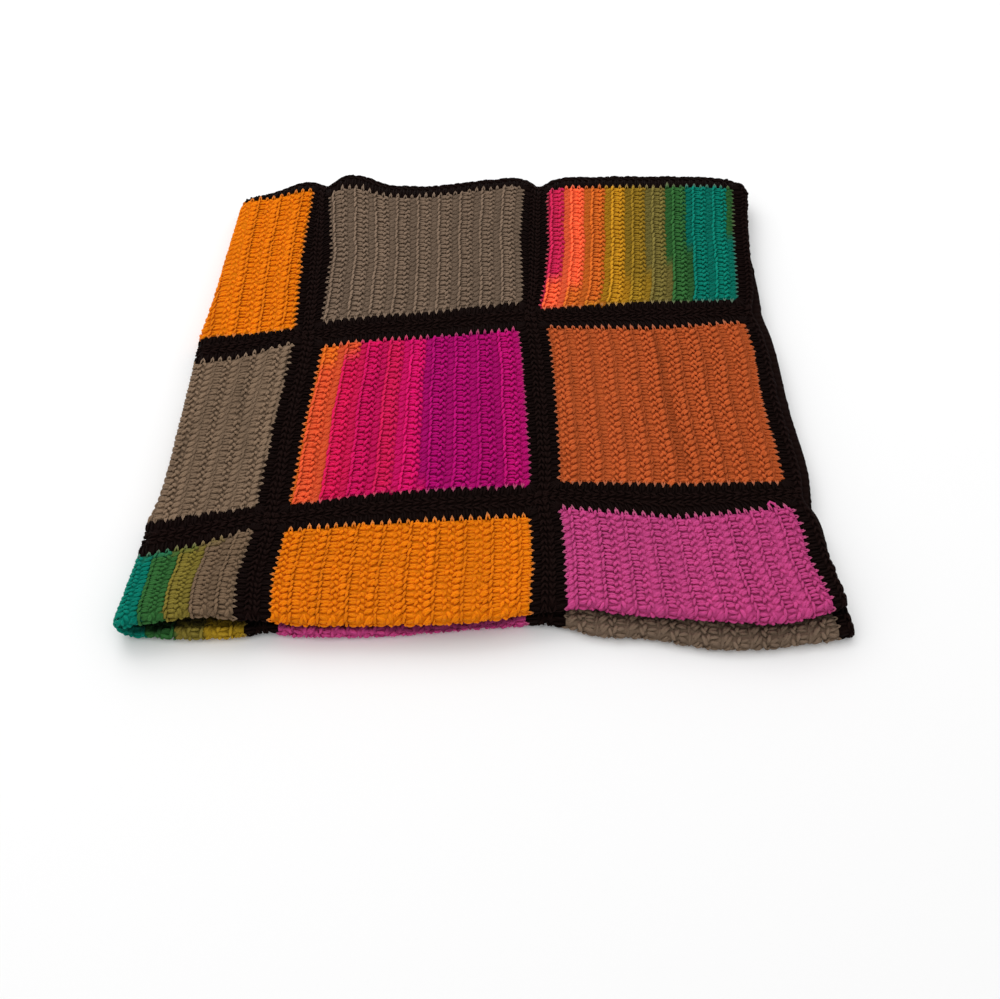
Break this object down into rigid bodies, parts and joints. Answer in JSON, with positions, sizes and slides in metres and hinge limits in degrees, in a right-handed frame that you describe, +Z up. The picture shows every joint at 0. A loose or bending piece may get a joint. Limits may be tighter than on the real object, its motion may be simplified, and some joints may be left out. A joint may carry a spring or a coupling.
{
  "type": "crocheted patchwork blanket, folded to a quarter",
  "caption": "Thick crocheted blanket of plain and striped squares with dark borders, folded in half twice and lying flat in four layers.",
  "frame": {"origin": "under the middle of the folded blanket's box, on the surface that it lies on", "axes": "+Z up, +X to the right along the front fold, +Y to the back along the left fold"},
  "size_m": [0.5556, 0.5714, 0.0324],
  "materials": {
    "yarn": "matt crocheted wool, near-black borders round squares of plain and self-striping colours"
  },
  "bodies": {
    "root": {"blanket": "yarn"}
  },
  "joints": []
}
